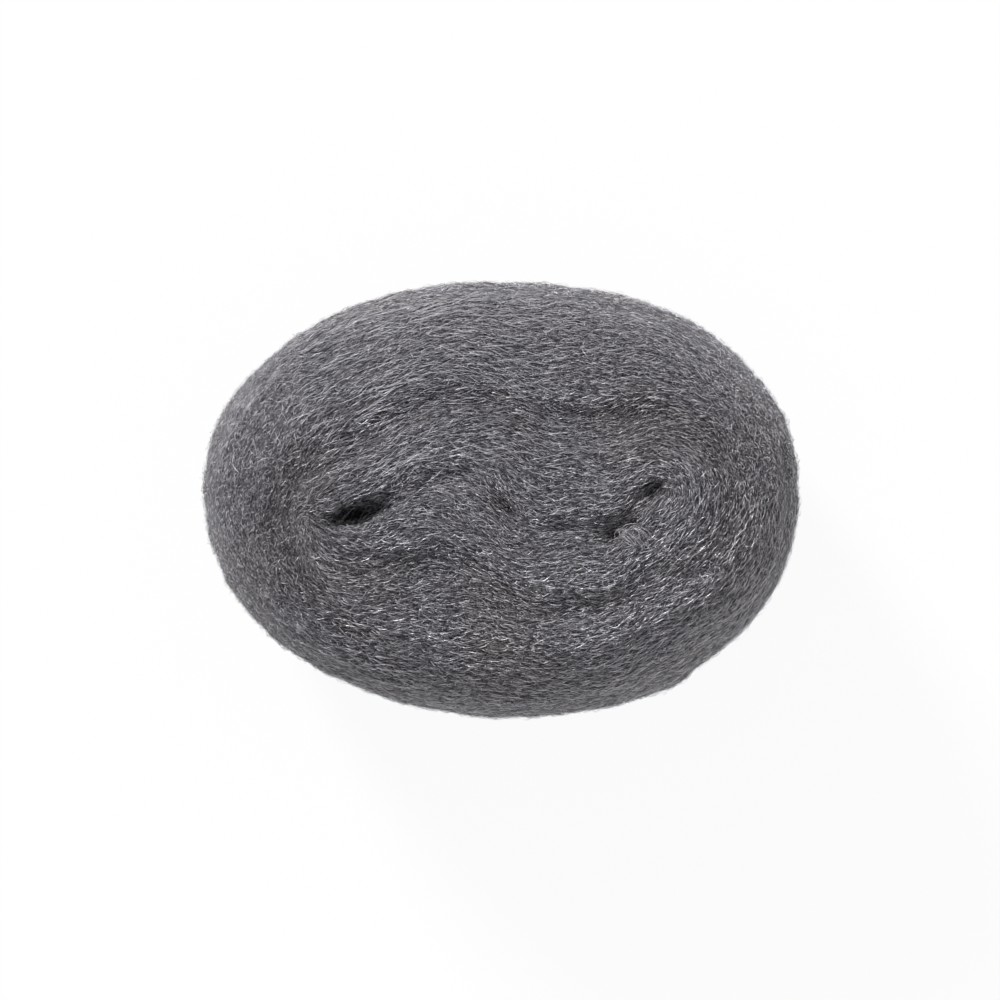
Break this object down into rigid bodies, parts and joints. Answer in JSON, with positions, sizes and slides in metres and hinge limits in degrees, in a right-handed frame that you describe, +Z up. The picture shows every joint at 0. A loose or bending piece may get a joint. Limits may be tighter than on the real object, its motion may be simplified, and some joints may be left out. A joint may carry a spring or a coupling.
{
  "type": "steel wool roll",
  "caption": "Oval roll of grey steel wool wound from one batt, with an S-shaped first fold and winding eyes on its ends, for rubbing down wood, paint and metal.",
  "frame": {"origin": "on the supporting surface, under the middle of the roll's bounding box", "axes": "+Z up along the winding axis, +X along the long axis of the oval, +Y along its short axis"},
  "size_m": [0.1302, 0.0956, 0.078],
  "materials": {
    "steel_wool": "matted fine steel fibre with scattered glints"
  },
  "bodies": {
    "root": {"steel_wool_roll": "steel_wool"}
  },
  "joints": []
}
